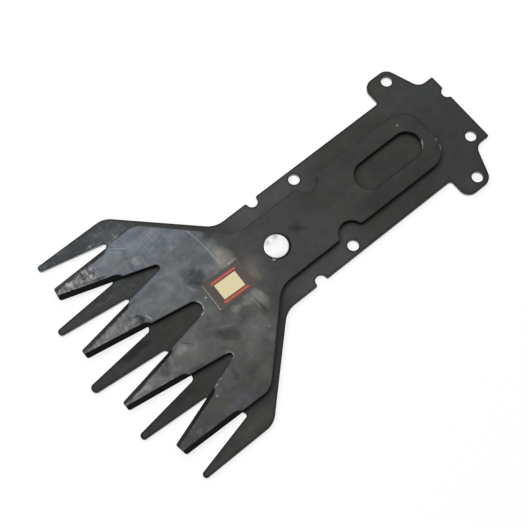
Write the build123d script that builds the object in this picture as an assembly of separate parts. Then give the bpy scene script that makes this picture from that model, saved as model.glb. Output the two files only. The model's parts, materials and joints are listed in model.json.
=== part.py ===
from build123d import *
import os
from math import atan2, cos, hypot, pi, radians, sin, sqrt, tan

# Grass shears blade set, in millimetres. A fixed comb plate carries a second comb plate that swings
# on a shoulder rivet. X runs forward to the tooth tips and Z up through the plates. The origin is on
# the underside of the fixed blade, midway between its two rear screw holes.

# Plates
FIXED_THICKNESS = 1.5
MOVING_THICKNESS = 2.0
BLADE_GAP = 0.05
EDGE_BREAK = 0.2  # on the punched side of each plate, away from the shearing plane

# Pivot and stroke
PIVOT_X = 77.4  # ahead of the rear screw holes
STROKE_ANGLE = 8.4  # swing each way from the middle, degrees
SHOULDER_DIAMETER = 6.0
RUNNING_CLEARANCE = 0.05  # on the radius, between shoulder and moving blade
HEAD_CLEARANCE = 0.06  # under the rivet head
HEAD_DIAMETER = 9.5
HEAD_RIM = 0.5
HEAD_HEIGHT = 1.0
HEAD_EDGE_FILLET = 0.3  # round the top of the rim
TAIL_DIAMETER = 4.2
PEENED_DIAMETER = 6.2  # flush with the underside
PEENED_DEPTH = 0.7

# Tooth spacing, shared by both blades
TOOTH_PITCH = 24.6

# Fixed blade: rear end, from the rear screw holes
SCREW_DIAMETER = 4.4
REAR_SCREW_SPACING = 52.3
FRONT_SCREW_SPACING = 34.4
FRONT_SCREW_X = 54.5
LOCATING_HOLE_DIAMETER = 4.4
LOCATING_HOLE_X = -9.6
LOCATING_HOLE_Y = 12.0
TAIL_OVERHANG = 15.0
TAIL_WIDTH = 32.6
TAIL_CORNER = 0.6
EAR_SPAN = 60.9
EAR_FRONT_X = 8.85
EAR_REAR_X = -3.1
EAR_REAR_ANGLE = 69.3
EAR_CORNER = 4.3
EAR_REAR_FILLET = 4.2
EAR_FRONT_FILLET = 1.3
FIXED_TANG_WIDTH = 42.0
NOTCH_RADIUS = 2.25
NOTCH_LIP = 0.7
NOTCH_DEPTH = 3.0
NOTCH_X = -4.75  # from the pivot
TAIL_NOTCH_DEPTH = 2.0
TAIL_NOTCH_Y = -7.8

# Fixed blade: front end, X from the pivot and widths from each tooth's own centre line
FIXED_FLARE_X = 12.2
FIXED_FLARE_ANGLE = 44.0
FIXED_FLARE_FILLET = 9.0
FIXED_FLARE_CORNER = 8.0
CENTRE_TOOTH_REACH = 85.2
CENTRE_TOOTH_TIP = 3.2
CENTRE_TOOTH_ROOT = 9.1
CENTRE_ROOT_X = 55.5
MIDDLE_TOOTH_REACH = 82.0
MIDDLE_TOOTH_TIP = 2.5
MIDDLE_ROOT_INSIDE = 4.9
MIDDLE_ROOT_INSIDE_X = 54.2
MIDDLE_ROOT_OUTSIDE = 2.95
MIDDLE_ROOT_OUTSIDE_X = 55.3
OUTER_TOOTH_REACH = 73.4
OUTER_TOOTH_TIP = 2.3
OUTER_ROOT_INSIDE = 7.25
OUTER_ROOT_X = 47.5
INNER_GAP_FILLET = 1.8
OUTER_GAP_FILLET = 1.1
TIP_ROUNDING = 1.05  # tip radius over half the tip width

# Moving blade: tang, from the pivot
MOVING_TANG_WIDTH = 26.2
DRIVE_REACH = 55.1  # from the pivot back to the middle of the drive slot
DRIVE_SLOT_WIDTH = 11.7
DRIVE_END_PLAY = 1.3  # past the drive roller at each end of its travel
DRIVE_TAIL_LAND = 4.9
MOVING_TAIL_CORNER = 8.4
SCREW_CLEARANCE_RADIUS = 4.95
SCREW_CLEARANCE_LIP = 1.5

# Moving blade: front end, X from the pivot and widths from each tooth's own centre line
MOVING_FLARE_X = 8.35
MOVING_FLARE_ANGLE = 45.0
MOVING_FLARE_FILLET = 10.5
MOVING_FLARE_CORNER = 8.0
OUTER_BLADE_REACH = 74.2
OUTER_BLADE_TIP = 5.1
OUTER_BLADE_SLANT = 0.8  # from the inside corner of the tip back to the outside one
OUTER_BLADE_SHOULDER = 3.55
INNER_BLADE_REACH = 79.4
INNER_BLADE_TIP = 3.75
CENTRE_GAP_X = 35.5
CENTRE_GAP_WIDTH = 5.2
SIDE_GAP_X = 38.3
SIDE_GAP_INSET = 3.1  # from the line of the fixed tooth below to the middle of the gap's root
SIDE_GAP_WIDTH = 2.0
GAP_ROOT_FLAT = 0.1  # between the two fillets at the root of a gap
BLADE_TIP_FILLET = 0.9

# Ground bevels on the moving teeth, X from the pivot
BEVEL_WIDTH = 1.65
CUTTING_LAND = 0.3
GRINDING_RADIUS = 4.6
OUTER_BEVEL_OUTSIDE_X = 47.7
OUTER_BEVEL_INSIDE_X = 49.9
INNER_BEVEL_OUTSIDE_X = 54.0
INNER_BEVEL_INSIDE_X = 52.8

# Film label on the moving blade
LABEL_LENGTH = 16.8
LABEL_WIDTH = 12.4
LABEL_THICKNESS = 0.1
LABEL_CORNER = 0.8
LABEL_X = 22.8  # from the pivot
LABEL_Y = 0.8
LABEL_TURN = -2.0

# Heights and shared places that follow from the sizes above
MOVING_BASE = FIXED_THICKNESS + BLADE_GAP
MOVING_TOP = MOVING_BASE + MOVING_THICKNESS
INNER_LINE = TOOTH_PITCH / 2
MIDDLE_LINE = TOOTH_PITCH
OUTER_LINE = 1.5 * TOOTH_PITCH
EDGE_LINE = 2 * TOOTH_PITCH
DRIVE_THROW = DRIVE_REACH * sin(radians(STROKE_ANGLE))
DRIVE_SLOT_LENGTH = DRIVE_SLOT_WIDTH + 2 * (DRIVE_THROW + DRIVE_END_PLAY)
CUT_MARGIN = 0.5


def mirrored_plate(half_corners):
    """Plate outline mirrored about the X axis, from corners given as (x, y, fillet radius)."""
    corners = half_corners + [(x, -y, r) for x, y, r in reversed(half_corners)]
    points = [(x, y) for x, y, r in corners]
    radii = [r for x, y, r in corners]
    return make_face(FilletPolyline(*points, radius=radii, close=True))


def lipped_notch(radius, depth, lip):
    """Round notch sunk into an edge on Y = 0, with both lips rounded over tangentially."""
    centre_y = radius - depth
    lip_x = sqrt((radius + lip) ** 2 - (centre_y + lip) ** 2)
    share = radius / (radius + lip)
    touch_x = lip_x * share
    touch_y = centre_y - (centre_y + lip) * share
    top = radius + depth
    right_lip = TangentArc((lip_x, 0), (touch_x, touch_y), tangent=(-1, 0))
    bottom = ThreePointArc((touch_x, touch_y), (0, -depth), (-touch_x, touch_y))
    left_lip = TangentArc((-lip_x, 0), (-touch_x, touch_y), tangent=(1, 0))
    mouth = Polyline((-lip_x, 0), (-lip_x, top), (lip_x, top), (lip_x, 0))
    return make_face(right_lip.edges() + bottom.edges() + left_lip.edges() + mouth.edges())


def fixed_outline():
    """Corners of the fixed blade from its tail to the tip of its centre tooth."""
    half_tail = TAIL_WIDTH / 2
    half_ears = EAR_SPAN / 2
    half_tang = FIXED_TANG_WIDTH / 2
    half_front = EDGE_LINE + OUTER_TOOTH_TIP / 2
    ear_foot_x = EAR_REAR_X - (half_ears - half_tail) / tan(radians(EAR_REAR_ANGLE))
    flare_x = PIVOT_X + FIXED_FLARE_X
    corner_x = flare_x + (half_front - half_tang) / tan(radians(FIXED_FLARE_ANGLE))
    centre_half = CENTRE_TOOTH_TIP / 2
    middle_half = MIDDLE_TOOTH_TIP / 2
    outer_half = OUTER_TOOTH_TIP / 2
    outer_tip_x = PIVOT_X + OUTER_TOOTH_REACH
    middle_tip_x = PIVOT_X + MIDDLE_TOOTH_REACH
    return [
        (-TAIL_OVERHANG, half_tail, TAIL_CORNER),
        (ear_foot_x, half_tail, EAR_REAR_FILLET),
        (EAR_REAR_X, half_ears, EAR_CORNER),
        (EAR_FRONT_X, half_ears, EAR_CORNER),
        (EAR_FRONT_X, half_tang, EAR_FRONT_FILLET),
        (flare_x, half_tang, FIXED_FLARE_FILLET),
        (corner_x, half_front, FIXED_FLARE_CORNER),
        (outer_tip_x, half_front, outer_half * TIP_ROUNDING),
        (outer_tip_x, EDGE_LINE - outer_half, outer_half * TIP_ROUNDING),
        (PIVOT_X + OUTER_ROOT_X, EDGE_LINE - OUTER_ROOT_INSIDE, OUTER_GAP_FILLET),
        (PIVOT_X + MIDDLE_ROOT_OUTSIDE_X, MIDDLE_LINE + MIDDLE_ROOT_OUTSIDE, OUTER_GAP_FILLET),
        (middle_tip_x, MIDDLE_LINE + middle_half, middle_half * TIP_ROUNDING),
        (middle_tip_x, MIDDLE_LINE - middle_half, middle_half * TIP_ROUNDING),
        (PIVOT_X + MIDDLE_ROOT_INSIDE_X, MIDDLE_LINE - MIDDLE_ROOT_INSIDE, INNER_GAP_FILLET),
        (PIVOT_X + CENTRE_ROOT_X, CENTRE_TOOTH_ROOT / 2, INNER_GAP_FILLET),
        (PIVOT_X + CENTRE_TOOTH_REACH, centre_half, centre_half * TIP_ROUNDING),
    ]


def fixed_holes():
    """Screw holes in two pairs, and the single locating hole near the tail."""
    screw = Circle(SCREW_DIAMETER / 2)
    rear_y = REAR_SCREW_SPACING / 2
    front_y = FRONT_SCREW_SPACING / 2
    places = [(0, rear_y), (0, -rear_y), (FRONT_SCREW_X, front_y), (FRONT_SCREW_X, -front_y)]
    holes = [Pos(x, y) * screw for x, y in places]
    return holes + [Pos(LOCATING_HOLE_X, LOCATING_HOLE_Y) * Circle(LOCATING_HOLE_DIAMETER / 2)]


def fixed_notches():
    """One notch in each tang edge behind the pivot, and one in the tail end."""
    side = lipped_notch(NOTCH_RADIUS, NOTCH_DEPTH, NOTCH_LIP)
    tail = lipped_notch(NOTCH_RADIUS, TAIL_NOTCH_DEPTH, NOTCH_LIP)
    half_tang = FIXED_TANG_WIDTH / 2
    return [
        Pos(PIVOT_X + NOTCH_X, half_tang) * side,
        Pos(PIVOT_X + NOTCH_X, -half_tang) * Rot(0, 0, 180) * side,
        Pos(-TAIL_OVERHANG, TAIL_NOTCH_Y) * Rot(0, 0, 90) * tail,
    ]


def lower_blade():
    """Fixed blade: a flat comb plate, rounded over on the underside, holding the peened rivet."""
    plan = mirrored_plate(fixed_outline()) - fixed_holes() - fixed_notches()
    plate = extrude(plan, FIXED_THICKNESS)
    underside = plate.faces().sort_by(Axis.Z)[0]
    plate = chamfer(underside.outer_wire().edges(), EDGE_BREAK)
    return plate - rivet_tail()


def outer_blade_edges():
    """Root and tip of the outer moving tooth's outside and inside edges, on the +Y side."""
    shoulder = OUTER_LINE + OUTER_BLADE_SHOULDER
    corner_x = MOVING_FLARE_X + (shoulder - MOVING_TANG_WIDTH / 2) / tan(radians(MOVING_FLARE_ANGLE))
    root_y = MIDDLE_LINE - SIDE_GAP_INSET + SIDE_GAP_WIDTH / 2
    outside_x = OUTER_BLADE_REACH - OUTER_BLADE_SLANT
    outside = ((corner_x, shoulder), (outside_x, OUTER_LINE + OUTER_BLADE_TIP / 2))
    inside = ((SIDE_GAP_X, root_y), (OUTER_BLADE_REACH, OUTER_LINE - OUTER_BLADE_TIP / 2))
    return outside, inside


def inner_blade_edges():
    """Root and tip of the inner moving tooth's outside and inside edges, on the +Y side."""
    root_y = MIDDLE_LINE - SIDE_GAP_INSET - SIDE_GAP_WIDTH / 2
    outside = ((SIDE_GAP_X, root_y), (INNER_BLADE_REACH, INNER_LINE + INNER_BLADE_TIP / 2))
    inside = ((CENTRE_GAP_X, CENTRE_GAP_WIDTH / 2), (INNER_BLADE_REACH, INNER_LINE - INNER_BLADE_TIP / 2))
    return outside, inside


def gap_fillet(width, *edges):
    """Radius that rounds the root of a gap between two tooth edges, all but its narrow flat."""
    slopes = [abs(atan2(tip[1] - root[1], tip[0] - root[0])) for root, tip in edges]
    return (width - GAP_ROOT_FLAT) / sum(tan((pi / 2 - slope) / 2) for slope in slopes)


def moving_outline():
    """Corners of the moving blade from its tail to the root of its centre gap, from the pivot."""
    half_tang = MOVING_TANG_WIDTH / 2
    tail_x = -(DRIVE_REACH + DRIVE_SLOT_LENGTH / 2 + DRIVE_TAIL_LAND)
    outer_outside, outer_inside = outer_blade_edges()
    inner_outside, inner_inside = inner_blade_edges()
    side_fillet = gap_fillet(SIDE_GAP_WIDTH, inner_outside, outer_inside)
    centre_fillet = gap_fillet(CENTRE_GAP_WIDTH, inner_inside, inner_inside)
    return [
        (tail_x, half_tang, MOVING_TAIL_CORNER),
        (MOVING_FLARE_X, half_tang, MOVING_FLARE_FILLET),
        (*outer_outside[0], MOVING_FLARE_CORNER),
        (*outer_outside[1], BLADE_TIP_FILLET),
        (*outer_inside[1], BLADE_TIP_FILLET),
        (*outer_inside[0], side_fillet),
        (*inner_outside[0], side_fillet),
        (*inner_outside[1], BLADE_TIP_FILLET),
        (*inner_inside[1], BLADE_TIP_FILLET),
        (*inner_inside[0], centre_fillet),
    ]


def screw_clearances():
    """Notches in the moving tang, each centred on a front screw when the blade ends its stroke there."""
    screw_x = FRONT_SCREW_X - PIVOT_X
    screw_y = FRONT_SCREW_SPACING / 2
    stroke = radians(STROKE_ANGLE)
    notch_x = screw_x * cos(stroke) - screw_y * sin(stroke)
    notch_y = screw_x * sin(stroke) + screw_y * cos(stroke)
    half_tang = MOVING_TANG_WIDTH / 2
    depth = SCREW_CLEARANCE_RADIUS - (notch_y - half_tang)
    notch = lipped_notch(SCREW_CLEARANCE_RADIUS, depth, SCREW_CLEARANCE_LIP)
    return [Pos(notch_x, half_tang) * notch, Pos(notch_x, -half_tang) * Rot(0, 0, 180) * notch]


def bevel_cut(root, tip, start_x, inward):
    """Grinding cut along one tooth edge, on the side that inward (+1 or -1) gives along Y.

    A wheel lying in the bevel plane is drawn along the edge to past the tip. It first breaks the
    edge at start_x, so the bevel runs out in the wheel's own curve.
    """
    length = hypot(tip[0] - root[0], tip[1] - root[1])
    along = Vector((tip[0] - root[0]) / length, (tip[1] - root[1]) / length, 0)
    across = Vector(-along.Y, along.X, 0) * inward
    rise = MOVING_THICKNESS - CUTTING_LAND
    slope = hypot(BEVEL_WIDTH, rise)
    normal = (Vector(0, 0, BEVEL_WIDTH) - across * rise) / slope
    start_y = root[1] + (start_x - root[0]) * along.Y / along.X
    plane = Plane((start_x, start_y, MOVING_BASE + CUTTING_LAND), x_dir=along, z_dir=normal)
    run_out = sqrt(GRINDING_RADIUS**2 - (GRINDING_RADIUS - slope) ** 2)
    travel = (tip[0] - start_x) / along.X + GRINDING_RADIUS
    wheel_path = SlotCenterToCenter(travel, 2 * GRINDING_RADIUS)
    swept = Pos(run_out + travel / 2, inward * (slope - GRINDING_RADIUS)) * wheel_path
    return extrude(plane * swept, BEVEL_WIDTH * rise / slope + CUT_MARGIN)


def tooth_bevels():
    """Both bevels of the two moving teeth on each side of the axis."""
    outer_outside, outer_inside = outer_blade_edges()
    inner_outside, inner_inside = inner_blade_edges()
    cuts = [
        bevel_cut(*outer_outside, OUTER_BEVEL_OUTSIDE_X, -1),
        bevel_cut(*outer_inside, OUTER_BEVEL_INSIDE_X, 1),
        bevel_cut(*inner_outside, INNER_BEVEL_OUTSIDE_X, -1),
        bevel_cut(*inner_inside, INNER_BEVEL_INSIDE_X, 1),
    ]
    return cuts + [mirror(cut, about=Plane.XZ) for cut in cuts]


def upper_blade():
    """Moving blade: a comb plate with ground teeth, the drive slot in its tang and the pivot bore."""
    slot = Pos(-DRIVE_REACH, 0) * SlotOverall(DRIVE_SLOT_LENGTH, DRIVE_SLOT_WIDTH)
    bore = Circle(SHOULDER_DIAMETER / 2 + RUNNING_CLEARANCE)
    plan = mirrored_plate(moving_outline()) - slot - screw_clearances()
    plate = extrude(plan, MOVING_THICKNESS)
    plate = chamfer(plate.faces().sort_by(Axis.Z)[-1].edges(), EDGE_BREAK)
    plate = Pos(0, 0, MOVING_BASE) * (plate - extrude(bore, MOVING_THICKNESS))
    return Pos(PIVOT_X, 0, 0) * (plate - tooth_bevels())


def turned(profile):
    """Solid turned about the pivot axis from a closed profile in X (radius) and Z."""
    return Pos(PIVOT_X, 0, 0) * revolve(make_face(profile), Axis.Z)


def rivet_tail():
    """Rivet tail inside the fixed blade, flared where it is peened flush with the underside."""
    outline = Polyline(
        (0, 0, 0),
        (PEENED_DIAMETER / 2, 0, 0),
        (TAIL_DIAMETER / 2, 0, PEENED_DEPTH),
        (TAIL_DIAMETER / 2, 0, FIXED_THICKNESS),
        (0, 0, FIXED_THICKNESS),
        close=True,
    )
    return turned(outline.edges())


def pivot_rivet():
    """Shoulder rivet: tail, bearing shoulder seated on the fixed blade, and a low domed head."""
    head_base = MOVING_TOP + HEAD_CLEARANCE
    shoulder = SHOULDER_DIAMETER / 2
    rim = HEAD_DIAMETER / 2
    rim_top = head_base + HEAD_RIM
    crown = head_base + HEAD_HEIGHT
    stem = Polyline(
        (0, 0, crown),
        (0, 0, FIXED_THICKNESS),
        (shoulder, 0, FIXED_THICKNESS),
        (shoulder, 0, head_base),
        (rim, 0, head_base),
        (rim, 0, rim_top),
    )
    dome = TangentArc((0, 0, crown), (rim, 0, rim_top), tangent=(1, 0, 0))
    head = turned(stem.edges() + dome.edges())
    rim_edge = head.edges().filter_by(Plane.XY).sort_by(Axis.Z)[-1]
    return rivet_tail() + fillet(rim_edge, HEAD_EDGE_FILLET)


def blank_label():
    """Thin film label stuck on the moving blade ahead of the pivot."""
    film = extrude(RectangleRounded(LABEL_LENGTH, LABEL_WIDTH, LABEL_CORNER), LABEL_THICKNESS)
    return Pos(PIVOT_X + LABEL_X, LABEL_Y, MOVING_TOP) * Rot(0, 0, LABEL_TURN) * film


os.makedirs("parts", exist_ok=True)
for node in (lower_blade, upper_blade, pivot_rivet, blank_label):
    export_step(node(), f"parts/{node.__name__}.step")
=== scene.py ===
import json
import math
from types import SimpleNamespace

import bpy
import numpy as np
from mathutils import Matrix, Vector


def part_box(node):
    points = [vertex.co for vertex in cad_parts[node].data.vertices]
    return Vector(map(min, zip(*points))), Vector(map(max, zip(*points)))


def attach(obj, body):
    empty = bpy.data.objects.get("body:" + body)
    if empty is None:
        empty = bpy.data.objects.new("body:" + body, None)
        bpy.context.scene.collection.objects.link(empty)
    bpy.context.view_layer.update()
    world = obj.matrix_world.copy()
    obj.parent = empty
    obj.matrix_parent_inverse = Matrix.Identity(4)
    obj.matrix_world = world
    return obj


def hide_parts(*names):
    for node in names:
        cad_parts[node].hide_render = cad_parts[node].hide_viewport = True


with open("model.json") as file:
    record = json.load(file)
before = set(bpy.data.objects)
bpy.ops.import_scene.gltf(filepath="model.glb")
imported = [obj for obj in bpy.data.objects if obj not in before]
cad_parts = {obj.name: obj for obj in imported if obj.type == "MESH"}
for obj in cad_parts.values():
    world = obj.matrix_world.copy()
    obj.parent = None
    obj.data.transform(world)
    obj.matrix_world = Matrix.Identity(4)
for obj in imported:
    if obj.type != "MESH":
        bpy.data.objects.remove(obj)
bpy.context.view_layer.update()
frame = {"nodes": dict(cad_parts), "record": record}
nodes = frame["nodes"]

# Places on the blades are in millimetres from the pivot: X to the tooth tips, Y to the left, Z up
MM = 0.001
PIVOT = Vector(frame["record"]["behaviour"]["joints"][0]["pos_m"])
MOVING_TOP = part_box("upper_blade")[1][2] / MM
CUTTING_LAND = 0.3
BEVEL_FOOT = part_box("upper_blade")[0][2] / MM + CUTTING_LAND
RIVET_LOW, RIVET_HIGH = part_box("pivot_rivet")
RIM_RADIUS = (RIVET_HIGH[0] - RIVET_LOW[0]) / 2 / MM

# Film label: middle, size, corner radius and turn in degrees
LABEL_MIDDLE = (22.8, 0.8)
LABEL_LENGTH = 16.8
LABEL_WIDTH = 12.4
LABEL_CORNER = 0.8
LABEL_TURN = -2.0
FILM_THICKNESS = 0.1
# Print on the label: half-sizes of the panel and of a bar, and each bar's distance from the middle line
PANEL_HALF_LENGTH = 4.7
PANEL_HALF_WIDTH = 3.3
BAR_HALF_LENGTH = 5.5
BAR_HALF_WIDTH = 0.44
BAR_OFFSET = 4.3

# Camera, with angles in degrees, lens and sensor in millimetres, and the rest in metres
CAMERA_AZIMUTH = 140.636
CAMERA_ELEVATION = 70.900
CAMERA_DISTANCE = 0.44554
CAMERA_AIM = Vector((0.08451, 0.00145, 0.0))
CAMERA_LENS = 81.84
CAMERA_SENSOR = 36.0

# Studio: floor and world, and where the lamps point, in metres
FLOOR_SIDE = 6.0
FLOOR_HEIGHT = -0.0001
PAPER_LIT = (0.82, 0.82, 0.82, 1)
PAPER_SEEN = (0.27, 0.27, 0.27, 1)
PAPER_GLOW = 0.79
WORLD_LIGHT = 0.3
LAMP_TARGET = (0.08, 0.0, 0.0)

# Finishes: grey levels are on the display's scale, and shades are what a grey is multiplied by
DISPLAY_GAMMA = 2.2
DARKEST_LEVEL = 0.02
NEUTRAL = (1, 1, 1, 1)
NOISE_LOW, NOISE_HIGH = 0.22, 0.78
RELIEF_DEPTH = 0.02
STROKE_CORE = 0.25
STROKE_FADE = 0.15
FLECK_SOFTNESS = 0.7


def new_material(name):
    """New material with an empty node tree."""
    material = bpy.data.materials.new(name)
    material.use_nodes = True
    material.node_tree.nodes.clear()
    return material


def plug(tree, socket, value):
    """A link where value comes from a node, else a fixed value on the socket."""
    if isinstance(value, bpy.types.NodeSocket):
        tree.links.new(value, socket)
    else:
        socket.default_value = value


def add_node(tree, kind, inputs, out=0, **settings):
    """New shader node with its settings and inputs, giving one of its outputs."""
    node = tree.nodes.new("ShaderNode" + kind)
    for key, value in settings.items():
        setattr(node, key, value)
    for key, value in inputs.items():
        plug(tree, node.inputs[key], value)
    return node.outputs[out]


class Finish:
    """One material's node tree, with a short call for each kind of node that the finishes use."""

    def __init__(self, name):
        self.material = new_material(name)
        self.tree = self.material.node_tree
        output = self.tree.nodes.new("ShaderNodeOutputMaterial")
        self.shader = self.tree.nodes.new("ShaderNodeBsdfPrincipled")
        self.tree.links.new(self.shader.outputs[0], output.inputs["Surface"])
        coordinates = self.tree.nodes.new("ShaderNodeTexCoord")
        self.place = self.frame_at(coordinates.outputs["Object"], PIVOT, 0.0, (MM, MM, MM))
        self.x, self.y, self.z = self.split(self.place)
        self.facing = self.split(coordinates.outputs["Normal"])

    def add(self, kind, inputs, out=0, **settings):
        return add_node(self.tree, kind, inputs, out, **settings)

    def frame_at(self, vector, centre, turn, size):
        """Coordinates seen from a centre, turned about Z by turn degrees and divided by size."""
        inputs = {"Vector": vector, "Location": centre, "Rotation": (0, 0, math.radians(turn)), "Scale": size}
        return self.add("Mapping", inputs, vector_type="TEXTURE")

    def split(self, vector):
        node = self.tree.nodes.new("ShaderNodeSeparateXYZ")
        self.tree.links.new(vector, node.inputs[0])
        return node.outputs[0], node.outputs[1], node.outputs[2]

    def calc(self, operation, *values):
        return self.add("Math", dict(enumerate(values)), operation=operation)

    def times(self, *values):
        product = values[0]
        for value in values[1:]:
            product = self.calc("MULTIPLY", product, value)
        return product

    def total(self, *values):
        result = values[0]
        for value in values[1:]:
            result = self.calc("ADD", result, value)
        return result

    def weighted(self, start, pairs):
        """Start plus each mask times its own change."""
        result = start
        for mask, change in pairs:
            result = self.calc("MULTIPLY_ADD", mask, change, result)
        return result

    def rest(self, share):
        """What a share leaves of 1."""
        return self.calc("SUBTRACT", 1.0, share)

    def step(self, value, low, high, start=0.0, end=1.0):
        """Smooth step from start to end as value goes from low to high, held beyond them."""
        inputs = {"Value": value, "From Min": low, "From Max": high, "To Min": start, "To Max": end}
        return self.add("MapRange", inputs, interpolation_type="SMOOTHSTEP")

    def slide(self, value, low, high, start, end):
        """Straight-line step from start to end, held beyond them."""
        inputs = {"Value": value, "From Min": low, "From Max": high, "To Min": start, "To Max": end}
        return self.add("MapRange", inputs, interpolation_type="LINEAR")

    def blend(self, share, first, second):
        """Number between first (share 0) and second (share 1)."""
        return self.add("Mix", {"Factor": share, "A": first, "B": second}, data_type="FLOAT")

    def tint(self, share, first, second, mode="MIX"):
        """Colour between first (share 0) and second (share 1), or their product with mode MULTIPLY. The
        colour sockets of the node are known by their numbers."""
        inputs = {0: share, 6: first, 7: second}
        return self.add("Mix", inputs, out=2, data_type="RGBA", blend_type=mode)

    def grain(self, size, turn=0.0, shift=(0, 0, 0), detail=2.0, rough=0.55, warp=0.0):
        """Noise about zero, from -1 to 1, whose features are about size millimetres along X, Y and Z."""
        vector = self.frame_at(self.place, shift, turn, size)
        inputs = {"Vector": vector, "Scale": 1.0, "Detail": detail, "Roughness": rough, "Distortion": warp}
        return self.slide(self.add("TexNoise", inputs), NOISE_LOW, NOISE_HIGH, -1.0, 1.0)

    def drift(self, size, reach):
        """X and Y moved about by noise of that feature size, by up to about half of reach millimetres."""
        vector = self.frame_at(self.place, (11, 5, 0), 0.0, (size, size, size))
        noise = self.add("TexNoise", {"Vector": vector, "Scale": 1.0, "Detail": 2.0}, out="Color")
        parts = self.tree.nodes.new("ShaderNodeSeparateColor")
        self.tree.links.new(noise, parts.inputs[0])
        x = self.calc("MULTIPLY_ADD", parts.outputs[0], 2 * reach, self.calc("SUBTRACT", self.x, reach))
        y = self.calc("MULTIPLY_ADD", parts.outputs[1], 2 * reach, self.calc("SUBTRACT", self.y, reach))
        return x, y

    def turned(self, at, origin, turn, size):
        """Distances along and across a direction, seen from an origin and divided by size. Where at is
        None, X and Y are the blade's own."""
        x, y = at or (self.x, self.y)
        cosine, sine = math.cos(math.radians(turn)), math.sin(math.radians(turn))
        from_origin = -(origin[0] * cosine + origin[1] * sine) / size[0]
        along = self.calc("MULTIPLY_ADD", y, sine / size[0], from_origin)
        along = self.calc("MULTIPLY_ADD", x, cosine / size[0], along)
        from_origin = (origin[0] * sine - origin[1] * cosine) / size[1]
        across = self.calc("MULTIPLY_ADD", y, cosine / size[1], from_origin)
        across = self.calc("MULTIPLY_ADD", x, -sine / size[1], across)
        return along, across

    def spot(self, centre, size, turn, soft, at=None):
        """Elliptical patch of half-sizes size: 1 inside, falling to 0 at its rim over the share soft."""
        along, across = self.turned(at, centre, turn, size)
        square = self.calc("MULTIPLY_ADD", along, along, self.times(across, across))
        return self.step(self.calc("SQRT", square), 1.0, 1.0 - soft)

    def line(self, start, end, width, at):
        """Straight mark from start to end, fading over its half-width and towards both ends."""
        length = math.hypot(end[0] - start[0], end[1] - start[1])
        turn = math.degrees(math.atan2(end[1] - start[1], end[0] - start[0]))
        along, across = self.turned(at, start, turn, (1, 1))
        body = self.step(self.calc("ABSOLUTE", across), width, STROKE_CORE * width)
        tail = self.step(along, 0.0, STROKE_FADE * length)
        head = self.step(along, length, (1 - STROKE_FADE) * length)
        return self.times(body, tail, head)

    def patches(self, marks, at):
        """Sum of elliptical patches, each with its own change of level."""
        pairs = (
            (self.spot((x, y), (half_length, half_width), turn, soft, at), change)
            for x, y, half_length, half_width, turn, soft, change in marks
        )
        return self.weighted(0.0, pairs)

    def strokes(self, marks, at):
        """Sum of straight marks, each with its own change of level."""
        pairs = (
            (self.line((x0, y0), (x1, y1), width, at), change)
            for x0, y0, x1, y1, width, change in marks
        )
        return self.weighted(0.0, pairs)

    def flecks(self, marks):
        """Sum of small round marks, each with its own change of level."""
        pairs = (
            (self.spot((x, y), (radius, radius), 0, FLECK_SOFTNESS), change)
            for x, y, radius, change in marks
        )
        return self.weighted(0.0, pairs)

    def edge(self, radius, start, full):
        """Nearness of a corner of the piece: 0 on open faces, rising to 1 at a sharp edge. The product of the
        rounded and true normals starts it and makes it full."""
        rounded = self.add("Bevel", {"Radius": radius * MM}, samples=6)
        true = self.add("NewGeometry", {}, out="True Normal")
        same = self.add("VectorMath", {0: rounded, 1: true}, out="Value", operation="DOT_PRODUCT")
        return self.step(same, start, full)

    def colour(self, level, shade):
        """Colour of a grey level, multiplied by a shade."""
        grey = self.calc("POWER", self.calc("MAXIMUM", level, DARKEST_LEVEL), DISPLAY_GAMMA)
        return self.tint(1.0, shade, self.add("CombineColor", {0: grey, 1: grey, 2: grey}), mode="MULTIPLY")

    def finish(self, base, roughness, metallic, height, specular=0.5, strength=0.5):
        """Puts colour, roughness, metal share, relief and mirror share on the shader."""
        relief = {"Height": height, "Distance": RELIEF_DEPTH * MM, "Strength": strength}
        values = {
            "Base Color": base,
            "Roughness": roughness,
            "Metallic": metallic,
            "Normal": self.add("Bump", relief),
            "Specular IOR Level": specular,
        }
        for name, value in values.items():
            plug(self.tree, self.shader.inputs[name], value)
        return self.material


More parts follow.
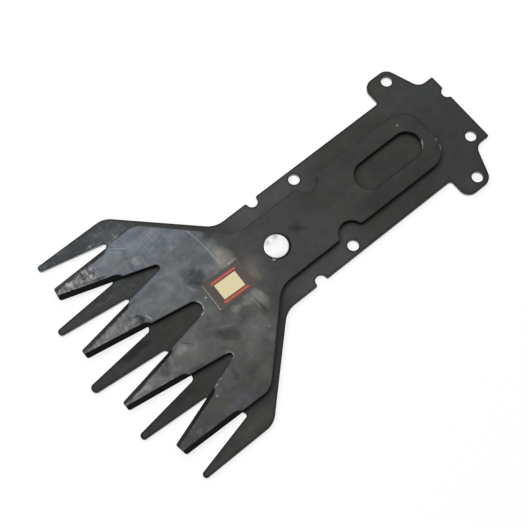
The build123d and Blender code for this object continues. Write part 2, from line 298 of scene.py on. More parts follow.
# Patches on the moving blade: X, Y, half-length, half-width, turn in degrees, soft share, change of level.
# Stained and rubbed places on the tang and the face
FACE_MARKS = (
    (30.7, -9.8, 4.8, 5.2, 10, 0.6, -0.085),
    (32.6, -7.5, 2.0, 3.0, 0, 0.7, -0.05),
    (34.5, -6.8, 1.0, 3.6, 30, 0.8, 0.07),
    (23.2, -14.0, 2.4, 8.0, 4, 0.8, -0.03),
    (39.5, -12.0, 2.8, 2.4, 0, 0.8, 0.03),
    (48.0, -12.5, 6.0, 3.4, 10, 0.8, 0.025),
    (43.6, -28.5, 2.2, 2.8, 20, 0.7, 0.06),
    (46.6, -27.8, 1.7, 2.0, 0, 0.6, -0.07),
    (41.0, -33.5, 9.0, 5.0, -8, 0.8, 0.015),
    (17.2, -20.0, 3.2, 3.4, 30, 0.7, -0.045),
    (29.0, -26.0, 6.0, 4.0, 0, 0.9, 0.025),
    (34.6, 15.0, 6.4, 3.2, -38, 0.6, -0.085),
    (38.4, 11.8, 4.0, 1.6, -28, 0.7, -0.045),
    (38.0, 8.4, 2.2, 1.6, -20, 0.7, -0.05),
    (27.0, 13.5, 3.6, 1.6, 20, 0.8, -0.03),
    (33.7, 5.5, 2.7, 5.2, -4, 0.6, 0.045),
    (47.0, 12.0, 8.0, 4.5, -10, 0.9, 0.035),
    (51.5, 8.9, 3.7, 2.5, 15, 0.6, 0.1),
    (41.8, 28.2, 2.2, 2.4, 0, 0.7, -0.045),
    (30.5, 25.5, 6.5, 5.0, 40, 0.9, 0.045),
    (24.0, 20.0, 5.0, 7.0, 0, 0.9, 0.035),
    (27.0, 18.5, 9.0, 8.5, 0, 0.9, 0.045),
    (45.5, 35.6, 4.5, 2.4, 5, 0.8, 0.02),
    (56.2, -9.7, 2.4, 1.6, -20, 0.5, -0.2),
    (50.8, 17.3, 5.4, 1.6, -10, 0.8, -0.075),
    (39.5, 18.6, 2.6, 1.5, 0, 0.8, -0.045),
    (52.8, -14.2, 2.8, 1.8, 0, 0.8, 0.05),
    (28.6, -28.6, 2.8, 2.4, 45, 0.8, 0.045),
    (33.6, -13.2, 2.4, 2.8, 0, 0.8, -0.045),
    (41.1, -31.9, 2.6, 2.8, 0, 0.8, -0.04),
    (23.8, 18.9, 2.6, 2.8, 0, 0.8, -0.04),
    (23.5, 25.2, 2.4, 2.4, 0, 0.8, 0.04),
    (-10.3, -0.6, 4.4, 1.7, -39, 0.7, -0.06),
    (-11.5, -1.9, 2.6, 2.3, -39, 0.8, -0.03),
    (-36.0, 8.0, 8.0, 3.5, 0, 0.9, -0.015),
    (5.0, -12.5, 7.0, 3.5, 0, 0.9, -0.012),
)
# Warm bare places where the grinding starts
WARM_MARKS = (
    (17.8, -9.4, 4.6, 8.0, 4, 0.8, 0.143),
    (14.9, -6.8, 2.2, 2.6, 0, 0.8, 0.05),
    (16.9, 10.8, 3.2, 6.8, 6, 0.8, 0.13),
    (13.0, 3.4, 3.0, 5.2, 0, 0.9, 0.075),
    (11.2, 1.2, 6.0, 9.0, 0, 0.9, 0.065),
    (11.4, -1.4, 4.4, 3.6, 0, 0.9, 0.024),
    (26.4, 9.1, 3.0, 2.2, 0, 0.7, 0.1),
    (21.8, 9.6, 3.4, 2.6, 0, 0.8, 0.1),
    (22.0, -7.6, 4.6, 2.6, 0, 0.8, 0.055),
)
# Scored patches on the tops of the moving teeth
TOOTH_MARKS = (
    (59.0, -36.4, 1.8, 1.7, 10, 0.9, 0.1),
    (58.9, -34.2, 1.3, 1.3, 0, 0.6, -0.15),
    (62.4, -34.5, 1.8, 1.5, 0, 0.7, -0.06),
    (62.8, -36.7, 1.0, 0.8, 0, 0.7, -0.12),
    (67.8, -36.2, 1.4, 1.8, 0, 0.9, 0.1),
    (65.0, -35.9, 2.0, 1.2, 20, 0.9, 0.06),
    (73.6, -37.4, 2.0, 2.0, 0, 0.6, -0.2),
    (58.5, 9.2, 2.5, 1.3, 10, 0.8, -0.11),
    (57.6, -9.0, 1.8, 1.4, -20, 0.7, -0.12),
    (79.0, 12.2, 2.6, 1.8, 0, 0.8, 0.06),
    (71.0, 12.0, 6.5, 1.5, -5, 0.8, 0.112),
    (61.0, 11.0, 4.5, 3.0, 0, 0.9, -0.09),
    (64.5, 36.3, 1.8, 1.2, 0, 0.8, 0.08),
    (72.0, -12.0, 5.0, 1.3, 5, 0.8, 0.05),
)
# Scratches and pressed lines on the moving blade: start, end, half-width, change of level
SCRATCHES = (
    (20.3, -7.5, 20.75, -19.5, 0.4, 0.1),
    (20.7, -18.0, 21.6, -26.0, 0.4, 0.11),
    (21.4, -24.5, 23.2, -28.2, 0.45, 0.07),
    (14.3, -2.6, 14.5, 4.4, 0.34, 0.07),
    (52.6, -6.6, 53.65, -10.0, 0.34, 0.18),
    (46.4, 10.3, 50.3, 6.3, 0.26, -0.09),
    (18.6, 18.0, 18.7, 10.5, 0.34, -0.08),
    (19.4, 14.5, 19.6, 9.2, 0.4, 0.08),
    (42.8, -34.2, 49.0, -38.8, 0.4, 0.09),
    (45.2, -34.0, 50.4, -38.2, 0.32, 0.05),
    (43.4, -36.0, 47.8, -39.2, 0.32, 0.05),
    (7.8, -14.4, 10.4, -15.6, 0.35, 0.06),
    (14.2, -5.9, 18.6, -6.1, 0.4, 0.1),
    (30.8, 13.4, 35.8, 10.6, 0.5, 0.05),
    (60.3, -33.6, 60.5, -37.3, 0.3, 0.22),
    # The next one darkens the rim along the slot's left edge as painted shade
    (-68.0, 5.9, -42.0, 5.9, 0.5, -0.06),
)
# Darker strips along crests of the moving teeth
DULL_CRESTS = (
    (48.0, -38.25, 77.0, -37.5, 0.45, -0.2),
    (47.4, -39.9, 52.0, -38.7, 0.5, -0.18),
    (55.0, -30.4, 68.0, -34.6, 0.8, -0.15),
    (53.0, -16.5, 80.0, -12.15, 0.4, -0.18),
    (53.0, 7.2, 79.0, 12.3, 0.4, -0.18),
)
# Bright nicks in the moving blade: X, Y, radius, change of level
NICKS = (
    (32.5, -1.0, 0.45, 0.3),
    (52.1, 30.1, 0.6, 0.22),
    (49.6, 26.9, 0.4, 0.3),
    (47.1, 26.0, 0.36, 0.25),
    (43.6, 24.6, 0.36, 0.2),
    (40.4, 23.4, 0.36, 0.2),
    (21.3, 22.0, 0.5, 0.13),
    (38.2, 22.0, 0.5, 0.12),
    (-67.3, -8.7, 0.5, 0.35),
    (-12.6, -5.0, 0.4, 0.08),
    (-46.5, 9.2, 0.28, 0.12),
    (-31.0, -6.5, 0.26, 0.1),
    (-22.4, 7.4, 0.26, 0.09),
    (-49.0, -9.6, 0.26, 0.09),
    (6.8, -9.4, 0.26, 0.08),
)
# Patches in which the moving blade's rim is bright, partly rubbed wear and partly painted glints, with a
# strength in place of the change
WORN_AND_GLINT_RIMS = (
    (-75.0, 6.0, 2.5, 7.0, -10, 0.6, 0.9),
    (-69.5, 2.5, 2.5, 4.0, -20, 0.6, 1.0),
    (36.2, 0.6, 3.4, 4.6, 0, 0.5, 2.4),
    (38.8, 22.0, 2.2, 2.6, 0, 0.6, 0.8),
    (38.8, -22.0, 2.2, 2.6, 0, 0.6, 0.5),
    (49.0, 26.0, 4.0, 2.5, 20, 0.7, 0.6),
    (45.0, -39.6, 5.0, 2.0, 0, 0.7, 0.6),
)
# Patches, scratches and nicks on the fixed blade, in the same columns
FIXED_MARKS = (
    (51.5, -21.0, 1.8, 3.2, 0, 0.8, 0.015),
    (48.0, -21.8, 6.0, 1.6, 0, 0.9, -0.014),
    (-73.5, 26.5, 6.0, 6.0, 0, 0.9, 0.018),
    (-73.5, -26.0, 6.0, 6.0, 0, 0.9, 0.009),
    (70.0, 1.2, 6.0, 1.4, 0, 0.9, 0.03),
    (59.5, -2.0, 3.5, 1.6, 0, 0.9, -0.03),
    (71.8, -48.6, 2.0, 1.2, -10, 0.8, 0.05),
    (58.5, -46.8, 5.0, 2.0, -8, 0.9, -0.025),
    (44.0, -43.6, 7.0, 3.0, -10, 0.8, 0.045),
    (48.0, 45.8, 13.0, 4.2, 8, 0.9, 0.036),
    (50.0, -46.9, 6.5, 2.4, -8, 0.9, 0.05),
    (64.5, -1.9, 9.5, 2.2, 1, 0.6, -0.065),
    (60.5, 22.4, 7.5, 1.8, 6, 0.7, -0.035),
    (62.0, -25.7, 7.5, 1.9, -4, 0.7, -0.055),
    (50.0, 2.8, 6.0, 2.4, 0, 0.9, 0.02),
    (64.0, 49.0, 9.0, 2.0, 4, 0.9, 0.012),
    (66.0, 25.8, 9.0, 1.6, 4, 0.9, 0.015),
    (40.0, 0.0, 7.5, 4.5, 0, 0.9, -0.024),
    (39.6, 22.0, 1.8, 1.4, 0, 0.8, 0.05),
    # The next two darken the slot's floor, most along its left wall: painted shade
    (-55.0, 0.3, 13.0, 5.2, 0, 0.5, -0.013),
    (-55.0, 5.0, 12.0, 2.2, 0, 0.9, -0.025),
)
FIXED_SCRATCHES = (
    (56.0, -23.6, 71.0, -24.5, 0.6, 0.045),
    (48.0, -20.2, 52.0, -24.5, 0.4, 0.03),
)
FIXED_NICKS = (
    (-56.0, 20.7, 0.5, 0.25),
    (-57.2, 20.3, 0.5, -0.1),
    (-85.0, 8.0, 0.4, 0.05),
    (-79.0, -13.0, 0.28, 0.09),
    (-38.0, 16.4, 0.28, 0.1),
    (-27.5, 19.0, 0.26, 0.09),
    (-14.0, -17.2, 0.28, 0.08),
    (-63.5, -1.6, 0.26, 0.1),
)
# Rougher patches with painted dark reflections, and bright scratches, on the rivet's head, in the same
# columns
RIVET_DARK_REFLECTIONS = (
    (-2.0, -3.2, 1.9, 1.4, 15, 0.9, 0.8),
    (2.0, -2.9, 1.9, 1.6, -20, 0.9, 0.6),
)
RIVET_SCRATCHES = (
    (0.0, -4.4, 0.5, -1.8, 0.13, 1.0),
    (1.3, -3.4, 0.2, -2.2, 0.11, 0.8),
)


def rolled_black_steel():
    """Fixed blade: blackened rolled sheet, rubbed near the pivot, with grinding hatch and a painted bluish
    sheen on its right-hand teeth.
    """
    f = Finish("rolled_black_steel")
    sheet_grey, wall_grey, rim_darkening = 0.22, 0.42, 0.4
    drift = f.drift(4.0, 1.2)
    cloud = f.grain((22, 16, 20), detail=3, warp=0.4)
    mottle = f.grain((5, 4, 5), shift=(3, 7, 0), detail=4)
    rolling = f.grain((14, 0.5, 2), shift=(1, 2, 0), detail=3)
    fine = f.grain((0.35, 0.35, 0.35), detail=2)
    hue = f.grain((17, 13, 15), shift=(9, 4, 2), detail=2)
    front = f.step(f.x, 40, 52)
    left_front = f.times(front, f.step(f.y, 24, 46))
    rubbed = f.times(f.step(f.x, -45, -12), f.step(f.x, 14, 2))
    hatch_and_sheen_zone = f.times(f.step(f.x, 32, 44), f.step(f.y, -10, -46))
    # Painted sheen: the blade is lighter towards its right side, and lighter still on the right-hand teeth
    level = f.weighted(sheet_grey, (
        (f.step(f.x, -45, -75), 0.012),
        (front, -0.02),
        (rubbed, 0.058),
        (f.step(f.y, 2, -20), 0.016),
        (hatch_and_sheen_zone, 0.05),
        (left_front, 0.024),
        (cloud, 0.03),
        (mottle, 0.028),
        (rolling, 0.007),
    ))
    level = f.total(
        level,
        f.patches(FIXED_MARKS, drift),
        f.strokes(FIXED_SCRATCHES, drift),
        f.flecks(FIXED_NICKS),
    )
    # Hatching left by the grinding wheel, both ways, strongest on the right-hand teeth
    hatch = f.step(f.grain((0.7, 6, 4), turn=10, shift=(5, 1, 0), detail=3), 0.05, 0.75)
    cross = f.step(f.grain((7, 0.6, 4), turn=4, shift=(2, 6, 0), detail=3), 0.05, 0.75)
    patchy = f.step(f.grain((5, 3.5, 4), shift=(8, 2, 0), detail=3), -0.4, 0.4)
    hatched = f.weighted(hatch_and_sheen_zone, [(front, 0.12)])
    level = f.weighted(level, [(f.times(f.total(hatch, cross), patchy, hatched), 0.2)])
    # Punched walls are bare and pick up the surface below, and the edges are darkened, partly where they are
    # rolled over and partly as painted shade
    wall = f.step(f.calc("ABSOLUTE", f.facing[2]), 0.4, 0.1)
    rim = f.times(f.edge(1.8, 0.999, 0.92), f.rest(wall))
    level = f.times(level, f.rest(f.times(rim, rim_darkening)))
    right_front = f.times(front, f.step(f.y, -18, -30))
    level = f.blend(wall, level, f.weighted(wall_grey, ((right_front, 0.14), (mottle, 0.1))))
    # From olive to teal, cooler at the tail, neutral at the neck, and bluish where a sheen is painted on the
    # right-hand teeth
    shade = f.tint(f.step(hue, -0.5, 0.6), (0.985, 1.01, 0.85, 1), (0.965, 1.01, 0.97, 1))
    shade = f.tint(f.step(f.x, -68, -84), shade, (0.945, 1.01, 0.98, 1))
    shade = f.tint(rubbed, shade, (0.98, 1.0, 1.0, 1))
    shade = f.tint(hatch_and_sheen_zone, shade, (0.9, 1.0, 1.07, 1))
    roughness = f.weighted(0.5, ((cloud, 0.06), (mottle, 0.06), (hatch, -0.08), (wall, -0.1)))
    metallic = f.blend(wall, 0.25, 0.75)
    height = f.weighted(0.0, ((rolling, 0.4), (fine, 0.35), (mottle, 0.3)))
    return f.finish(f.colour(level, shade), roughness, metallic, height, specular=0.25)


def ground_grain(f):
    """Grain of the moving blade, from broad clouds to fine grinding lines across it."""
    return SimpleNamespace(
        cloud=f.grain((15, 12, 20), detail=3, warp=0.5),
        mottle=f.grain((5, 4, 5), shift=(4, 9, 0), detail=4, warp=0.6),
        lines=f.grain((0.5, 16, 3), turn=2, detail=3),
        score=f.grain((0.6, 5, 3), turn=-4, shift=(7, 3, 0), detail=3, rough=0.65),
        blotch=f.grain((3.2, 2.6, 3), shift=(2, 2, 0), detail=4, rough=0.6),
        torn=f.step(f.grain((2.4, 1.8, 2), shift=(5, 8, 0), detail=3, warp=0.4), -0.5, 0.5, -1.0, 1.0),
        fine=f.grain((0.3, 0.3, 0.3), detail=2),
        weave=f.total(
            f.grain((0.6, 9, 3), turn=4, shift=(2, 5, 0)),
            f.grain((9, 0.6, 3), turn=3, shift=(6, 2, 0)),
        ),
        hue=f.grain((11, 9, 12), shift=(6, 1, 3), detail=2),
    )


def tang_level(f, grain):
    """Grey level of the black tang, a little lighter towards the neck."""
    tang_grey = 0.237
    return f.weighted(tang_grey, (
        (f.step(f.x, -50, -8), 0.026),
        (f.step(f.x, 2, 11), 0.015),
        (f.times(f.step(f.y, 5, 9), f.step(f.x, -20, -40)), -0.02),
        (grain.cloud, 0.03),
        (grain.mottle, 0.026),
    ))


def face_level(f, grain):
    """Grey level of the ground face, with a painted sheen: lighter on its right side, darker on its left
    side.
    """
    right_grey, left_grey = 0.418, 0.282
    calm = f.step(f.y, -8, 12, 1.0, 0.6)
    return f.weighted(f.slide(f.y, -38, 38, right_grey, left_grey), (
        (f.step(f.x, 26, 44), 0.015),
        (f.spot((31, 0), (11, 14), 0, 0.9), -0.028),
        (f.times(grain.cloud, calm), 0.06),
        (f.times(grain.mottle, calm), 0.07),
        (grain.lines, 0.014),
        (f.times(grain.weave, f.spot((37, -31), (9, 11), 0, 0.8)), 0.048),
    ))


def tooth_level(f, grain, loose):
    """Grey level of the tooth tops, scored by the last grinding pass and most so on the right, and lighter on
    the right as a painted sheen.
    """
    right_grey, left_grey = 0.41, 0.275
    strong = f.step(f.y, 34, -34, 0.2, 1.0)
    scored = f.weighted(f.step(f.y, 2, 37, right_grey, left_grey), (
        (f.step(f.y, -24, -34), 0.04),
        (f.times(grain.score, strong), 0.14),
        (f.times(grain.blotch, strong), 0.14),
        (f.times(grain.torn, f.spot((64, -36), (12, 4), 0, 0.5)), 0.07),
    ))
    return f.total(scored, f.patches(TOOTH_MARKS, loose))


def bevel_level(f, grain, black):
    """Grey level of bevels and walls: dark, lighter where they face right towards the lamps as painted light,
    darker at the foot as painted shade, and the tang's in its right-hand notch.
    """
    bevel_grey, foot_height, foot_share = 0.115, 0.5, 0.5
    # Painted light: bevels that face right, towards the lamps, are lighter
    bevel = f.weighted(bevel_grey, ((f.step(f.facing[1], -0.12, -0.4), 0.03), (grain.lines, 0.012)))
    # Painted shade: darker towards the foot
    bevel = f.times(bevel, f.step(f.z, BEVEL_FOOT + foot_height, BEVEL_FOOT, 1.0, foot_share))
    return f.blend(f.spot((-29.5, -11.5), (3.5, 4.0), 0, 0.5), bevel, black)


def ground_shade(f, grain, ground, warm, tooth):
    """Shade of the moving blade: olive to teal on the black tang, across the ground face from a plain shade
    on the left to a painted bluish sheen on the right, warm on the bare places and neutral on the tooth tops."""
    wander = f.step(grain.hue, -0.5, 0.6)
    sheen_blue = f.tint(wander, (0.84, 0.98, 1.13, 1), (0.94, 1.0, 1.06, 1))
    dull_reflection = f.tint(wander, (1.0, 1.03, 0.92, 1), (0.98, 0.99, 1.07, 1))
    oxide = f.tint(wander, (0.985, 1.015, 0.88, 1), (0.965, 1.01, 0.97, 1))
    oxide = f.tint(f.step(f.x, -26, -8), oxide, (0.98, 1.0, 0.995, 1))
    shade = f.tint(ground, oxide, f.tint(f.step(f.y, 10, -28), dull_reflection, sheen_blue))
    bare = f.tint(f.step(f.x, 13.5, 16.5), (1.1, 0.99, 0.88, 1), (1.045, 1.0, 0.925, 1))
    shade = f.tint(f.step(warm, 0.01, 0.1), shade, bare)
    return f.tint(tooth, shade, NEUTRAL)


def ground_steel():
    """Moving blade: black at the tang, ground to a grey haze ahead of the pivot with a painted sheen that is
    lighter and bluer on its right side, with scored tooth tops and dark bevels."""
    f = Finish("ground_steel")
    bright_grey, rim_darkening, rim_brightening, least_wear_and_glint = 0.65, 0.25, 0.14, 0.06
    crest_low, crest_high = MOVING_TOP - 0.24, MOVING_TOP - 0.16
    drift = f.drift(4.5, 2.4)
    slight = f.drift(1.6, 0.35)
    loose = f.drift(2.6, 1.8)
    grain = ground_grain(f)
    # The face is ground ahead of an oblique, uneven line
    ground = f.step(f.weighted(f.x, ((f.y, 0.05), (grain.mottle, 1.2))), 12.5, 19.5)
    black = tang_level(f, grain)
    face = face_level(f, grain)
    warm = f.patches(WARM_MARKS, loose)
    level = f.total(f.blend(ground, black, face), warm, f.patches(FACE_MARKS, drift))
    tooth = f.step(f.weighted(f.x, [(grain.blotch, 2.4)]), 53.5, 60)
    level = f.blend(tooth, level, tooth_level(f, grain, loose))
    # Scratches, nicks, and a painted shadow ring round the rivet's head
    scratches = f.strokes(SCRATCHES, slight)
    painted_rivet_shadow = f.spot((-0.48, 0.14), (5.4, 5.4), 0, 0.12)
    level = f.weighted(f.total(level, scratches, f.flecks(NICKS)), [(painted_rivet_shadow, -0.21)])
    # Flat top, walls, and the upper edge of the bevels between them
    slant = f.calc("ABSOLUTE", f.facing[2])
    flat = f.step(slant, 0.86, 0.96)
    wall = f.step(slant, 0.35, 0.1)
    slope = f.calc("SUBTRACT", f.rest(flat), wall)
    crest = f.times(slope, f.step(f.z, crest_low, crest_high))
    # The rim is darkened where it is rolled over, partly as painted shade, and light on the teeth, partly
    # from wear and partly as a painted highlight
    rim = f.times(f.edge(1.2, 0.998, 0.92), flat)
    faint = f.total(f.spot((-34, -12), (17, 5.5), 0, 0.4), f.spot((10.5, -16), (8, 4.5), -25, 0.4))
    rolled = f.times(rim, f.rest(tooth), f.rest(faint))
    level = f.times(level, f.rest(f.times(rolled, rim_darkening)))
    uneven = f.step(grain.blotch, -0.3, 0.4)
    level = f.weighted(level, [(f.times(rim, tooth, uneven), rim_brightening)])
    level = f.total(level, f.strokes(DULL_CRESTS, slight))
    level = f.blend(f.rest(flat), level, bevel_level(f, grain, black))
    # Rim and crest are bright in places, partly rubbed wear and partly painted glints
    wear_and_glint = f.total(least_wear_and_glint, f.patches(WORN_AND_GLINT_RIMS, loose))
    broken = f.step(grain.blotch, -0.3, 0.4, 0.15, 1.0)
    level = f.blend(f.times(f.weighted(crest, [(rim, 0.85)]), wear_and_glint, broken), level, bright_grey)
    shade = ground_shade(f, grain, ground, warm, tooth)
    roughness = f.weighted(0.46, (
        (ground, -0.06),
        (grain.cloud, 0.06),
        (grain.mottle, 0.06),
        (f.times(grain.score, tooth), 0.1),
    ))
    metallic = f.times(flat, f.weighted(0.25, [(ground, 0.3)]))
    height = f.weighted(0.0, (
        (f.times(grain.lines, ground), 0.5),
        (f.times(grain.score, tooth), 0.8),
        (grain.fine, 0.3),
        (grain.mottle, 0.3),
        (scratches, -2.0),
    ))
    return f.finish(f.colour(level, shade), roughness, metallic, height, specular=0.2)


def bright_zinc(name):
    """Rivet: bright zinc plate with faint pressing marks, rougher patches with painted dark reflections, and
    one side painted darker as a dark reflection.
    """
    f = Finish(name)
    zinc_grey, zinc_shade = 0.868, (0.985, 1.0, 0.985, 1)
    cloud = f.grain((4, 3, 4), detail=3)
    mark = f.grain((0.3, 2.5, 2), turn=30, detail=3)
    # Painted dark reflections in rougher patches, and a painted dark reflection towards the right-hand side
    dull_reflection = f.patches(RIVET_DARK_REFLECTIONS, f.drift(2.5, 0.8))
    side = f.step(f.y, 1.5, -5.0)
    scratches = f.strokes(RIVET_SCRATCHES, None)
    level = f.weighted(zinc_grey, (
        (dull_reflection, -0.16),
        (side, -0.08),
        (scratches, 0.16),
        (cloud, 0.025),
        (mark, 0.012),
    ))
    roughness = f.weighted(0.26, ((cloud, 0.06), (mark, 0.04), (dull_reflection, 0.1)))
    height = f.weighted(0.0, ((mark, 0.5), (cloud, 0.5)))
    return f.finish(f.colour(level, zinc_shade), roughness, 1.0, height, strength=0.3)


def printed_film():
    """Label: dark warm film printed with a pale panel and slim red bars, rubbed pale at its front edge."""
    f = Finish("printed_film")
    film_grey, rubbed_grey, panel_grey, bar_grey = 0.31, 0.68, 0.95, 0.8
    film_shade, panel_shade, bar_shade = (1.2, 0.97, 0.85, 1), (1.0, 0.86, 0.5, 1), (1.0, 0.16, 0.1, 1)
    rubbed_start, rubbed_full = LABEL_LENGTH / 2 - 0.45, LABEL_LENGTH / 2 - 0.15
    ink_blur, fine_blur, ink_wander = 0.08, 0.06, 0.06
    cloud = f.grain((5, 4, 4), detail=3)
    fine = f.grain((0.4, 0.4, 0.4), detail=2)
    ink = f.grain((0.7, 0.7, 0.7), shift=(1, 1, 0), detail=2)
    sheet = f.frame_at(f.place, (*LABEL_MIDDLE, 0), LABEL_TURN, (1, 1, 1))
    forward = f.split(sheet)[0]
    along, across, _ = f.split(f.add("VectorMath", {0: sheet}, operation="ABSOLUTE"))
    level = f.weighted(film_grey, ((cloud, 0.022), (fine, 0.01)))
    rubbed = f.step(f.weighted(forward, [(ink, 0.1)]), rubbed_start, rubbed_full)
    level = f.blend(rubbed, level, f.weighted(rubbed_grey, [(ink, 0.12)]))
    base = f.tint(rubbed, f.colour(level, film_shade), f.colour(level, NEUTRAL))
    # Printed panel and bars, with slightly uneven ink edges
    ragged = f.times(ink, ink_wander)
    uneven_along = f.total(along, ragged)
    panel = f.times(
        f.step(uneven_along, PANEL_HALF_LENGTH + ink_blur, PANEL_HALF_LENGTH - ink_blur),
        f.step(f.total(across, ragged), PANEL_HALF_WIDTH + ink_blur, PANEL_HALF_WIDTH - ink_blur),
    )
    base = f.tint(panel, base, f.colour(f.weighted(panel_grey, [(ink, 0.015)]), panel_shade))
    off_bar = f.calc("ABSOLUTE", f.calc("SUBTRACT", across, BAR_OFFSET))
    bar = f.times(
        f.step(uneven_along, BAR_HALF_LENGTH + ink_blur, BAR_HALF_LENGTH - ink_blur),
        f.step(f.total(off_bar, ragged), BAR_HALF_WIDTH + fine_blur, BAR_HALF_WIDTH - fine_blur),
    )
    base = f.tint(bar, base, f.colour(f.weighted(bar_grey, [(ink, 0.03)]), bar_shade))
    printed = f.total(panel, bar)
    roughness = f.weighted(0.45, ((cloud, 0.05), (printed, -0.08)))
    height = f.weighted(cloud, ((fine, 0.4), (printed, 0.6)))
    return f.finish(base, roughness, 0.0, height, specular=0.35)


def dress(node, material):
    """Puts one material on a node of the frame."""
    mesh = nodes[node].data
    mesh.materials.clear()
    mesh.materials.append(material)


def new_piece(name, points, faces, material):
    """Mesh object from points in millimetres from the pivot and a list of faces."""
    mesh = bpy.data.meshes.new(name)
    placed = points * MM + np.array(PIVOT)
    mesh.from_pydata(placed.tolist(), [], faces)
    mesh.polygons.foreach_set("use_smooth", np.ones(len(mesh.polygons), dtype=bool))
    mesh.materials.append(material)
    piece = bpy.data.objects.new(name, mesh)
    bpy.context.scene.collection.objects.link(piece)
    return piece


def grid_faces(rows, columns, closed=False):
    """Quads of a grid of points numbered row by row. In a closed grid the last column joins the first."""
    column = np.arange(columns if closed else columns - 1)
    row_start = np.arange(rows - 1)[:, None] * columns
    first = (row_start + column).ravel()
    beside = (row_start + (column + 1) % columns).ravel()
    return np.stack([first, first + columns, beside + columns, beside], axis=1)


def film_label():
    """Film label on a grid of two parameters over its rectangle.

    Each corner square is bent to a quarter disc: each side length is multiplied by the root of one less
    half the square of the other. The height is the blade's top plus a slow ripple, one plus the product
    of two sines, plus a lift that grows with the square of the distance into the front strip. A second
    grid, a film's thickness higher, and a strip between the two borders close the sheet.
    """
    ripple, waves_along, waves_across, wave_start = 0.012, 1.3, 1.1, 0.4
    lift, front_strip = 0.16, 1.8
    rows, columns = 61, 47
    u, v = np.meshgrid(np.linspace(-1, 1, rows), np.linspace(-1, 1, columns), indexing="ij")
    half_length, half_width = LABEL_LENGTH / 2, LABEL_WIDTH / 2
    across_corner = np.clip((np.abs(u) * half_length - half_length) / LABEL_CORNER + 1, 0, 1)
    along_corner = np.clip((np.abs(v) * half_width - half_width) / LABEL_CORNER + 1, 0, 1)
    pull_x = across_corner * (1 - np.sqrt(1 - along_corner**2 / 2)) * LABEL_CORNER
    pull_y = along_corner * (1 - np.sqrt(1 - across_corner**2 / 2)) * LABEL_CORNER
    x = u * half_length - np.sign(u) * pull_x
    y = v * half_width - np.sign(v) * pull_y
    into_strip = np.clip((x - half_length + front_strip) / front_strip, 0, 1)
    waves = np.sin(waves_along * x + wave_start) * np.sin(waves_across * y)
    raised = ripple * (1 + waves) + lift * into_strip**2
    turn = math.radians(LABEL_TURN)
    placed_x = LABEL_MIDDLE[0] + x * math.cos(turn) - y * math.sin(turn)
    placed_y = LABEL_MIDDLE[1] + x * math.sin(turn) + y * math.cos(turn)
    low = np.stack([placed_x, placed_y, MOVING_TOP + raised], axis=2).reshape(-1, 3)
    high = low + (0, 0, FILM_THICKNESS)
    count = rows * columns
    number = np.arange(count).reshape(rows, columns)
    border = np.concatenate([number[:-1, 0], number[-1, :-1], number[:0:-1, -1], number[0, :0:-1]])
    after = np.roll(border, -1)
    strip = np.stack([border, after, after + count, border + count], axis=1)
    sheet = grid_faces(rows, columns)
    faces = np.concatenate([sheet[:, ::-1] + count, sheet, strip])
    return new_piece("film_label", np.concatenate([low, high]), faces.tolist(), printed_film())


def rim_burr():
    """Sliver of flash on the rivet's rim: a round section carried along a path.

    The path goes round the rim by a small angle while its radius grows from just inside the rim and
    comes back, by one less a power of the distance from mid-path. The section thins towards both ends.
    """
    middle, span = math.radians(42.0), math.radians(15.0)
    inset, reach, point, height = 0.1, 1.05, 1.5, 3.95
    thickness, thinning = 0.14, 0.5
    rows, columns = 33, 12
    t = np.linspace(-1, 1, rows)
    angle = middle + t * span / 2
    radius = RIM_RADIUS - inset + reach * (1 - np.abs(t) ** point)
    path = np.stack([radius * np.cos(angle), radius * np.sin(angle), np.full(rows, height)], axis=1)
    forward = np.gradient(path, axis=0)
    forward /= np.linalg.norm(forward, axis=1, keepdims=True)
    up = np.array([0.0, 0.0, 1.0])
    side = np.cross(forward, up)
    around = np.linspace(0, 2 * np.pi, columns, endpoint=False)
    thick = thickness * (1 - thinning * t**2)
    section = np.cos(around)[None, :, None] * side[:, None, :] + np.sin(around)[None, :, None] * up
    points = (path[:, None, :] + thick[:, None, None] * section).reshape(-1, 3)
    start_cap = np.arange(columns)
    end_cap = (rows - 1) * columns + start_cap[::-1]
    faces = grid_faces(rows, columns, closed=True).tolist() + [start_cap.tolist(), end_cap.tolist()]
    return new_piece("rim_burr", points, faces, bright_zinc("burr_zinc"))


dress("lower_blade", rolled_black_steel())
dress("upper_blade", ground_steel())
dress("pivot_rivet", bright_zinc("bright_zinc"))

label = film_label()
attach(label, "moving_blade")
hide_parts("blank_label")

burr = rim_burr()
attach(burr, "fixed_blade")


def floor_paper():
    """White paper. Rays from the camera, from a reflection or through a piece see it mostly by its own glow,
    so it stays white to them and still takes a faint shadow."""
    material = new_material("floor_paper")
    tree = material.node_tree
    path = tree.nodes.new("ShaderNodeLightPath").outputs
    seen = add_node(tree, "Math", {0: path["Is Camera Ray"], 1: path["Is Glossy Ray"]}, operation="MAXIMUM")
    seen = add_node(tree, "Math", {0: seen, 1: path["Is Transmission Ray"]}, operation="MAXIMUM")
    strength = add_node(tree, "Math", {0: seen, 1: PAPER_GLOW}, operation="MULTIPLY")
    glow = add_node(tree, "Emission", {"Strength": strength})
    white = add_node(tree, "Mix", {0: seen, 6: PAPER_LIT, 7: PAPER_SEEN}, out=2, data_type="RGBA")
    paper = add_node(tree, "BsdfDiffuse", {"Color": white})
    output = tree.nodes.new("ShaderNodeOutputMaterial")
    tree.links.new(add_node(tree, "AddShader", {0: paper, 1: glow}), output.inputs["Surface"])
    return material


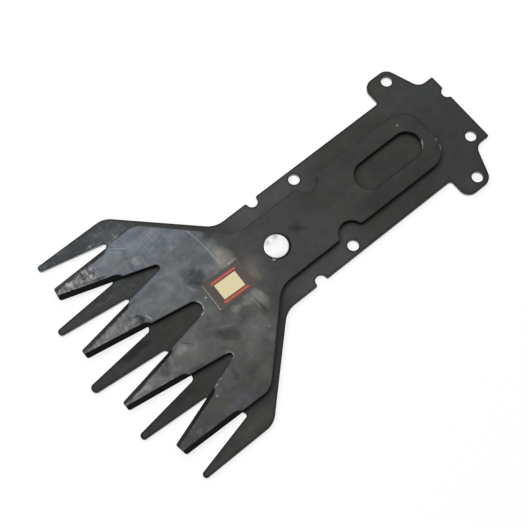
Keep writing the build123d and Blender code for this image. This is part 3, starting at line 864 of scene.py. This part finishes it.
def floor():
    """Square floor just under the blade."""
    mesh = bpy.data.meshes.new("floor")
    square = np.array([(-1, -1, 0), (1, -1, 0), (1, 1, 0), (-1, 1, 0)])
    corners = square * FLOOR_SIDE / 2 + (0, 0, FLOOR_HEIGHT)
    mesh.from_pydata(corners.tolist(), [], [(0, 1, 2, 3)])
    mesh.materials.append(floor_paper())
    plate = bpy.data.objects.new("floor", mesh)
    bpy.context.scene.collection.objects.link(plate)


def place_facing(name, data, place, direction):
    """New object at place that looks along a direction, with its upper side up."""
    holder = bpy.data.objects.new(name, data)
    holder.location = place
    holder.rotation_mode = "QUATERNION"
    holder.rotation_quaternion = direction.to_track_quat("-Z", "Y")
    bpy.context.scene.collection.objects.link(holder)
    return holder


def softbox(name, place, size, power):
    """Square area lamp at place, facing the blade."""
    lamp = bpy.data.lights.new(name, "AREA")
    lamp.shape = "SQUARE"
    lamp.size = size
    lamp.energy = power
    place_facing(name, lamp, place, Vector(LAMP_TARGET) - Vector(place))


def camera():
    """Camera at the photograph's place: high up, with a long lens and level."""
    data = bpy.data.cameras.new("camera")
    data.sensor_width = CAMERA_SENSOR
    data.lens = CAMERA_LENS
    data.clip_start, data.clip_end = 0.01, 50
    azimuth, elevation = math.radians(CAMERA_AZIMUTH), math.radians(CAMERA_ELEVATION)
    level = math.cos(elevation)
    back = Vector((math.sin(azimuth) * level, -math.cos(azimuth) * level, math.sin(elevation)))
    bpy.context.scene.camera = place_facing("camera", data, CAMERA_AIM + back * CAMERA_DISTANCE, -back)


def studio_world():
    """Even white light from all round."""
    world = bpy.data.worlds.new("studio")
    world.use_nodes = True
    background = world.node_tree.nodes["Background"].inputs
    background["Color"].default_value = NEUTRAL
    background["Strength"].default_value = WORLD_LIGHT
    bpy.context.scene.world = world


floor()
softbox("overhead_softbox", (-0.15, -0.6, 1.3), size=1.8, power=11.0)
softbox("left_softbox", (0.67, -0.49, 0.92), size=0.5, power=3.7)
camera()
studio_world()
bpy.context.scene.view_settings.view_transform = "Standard"
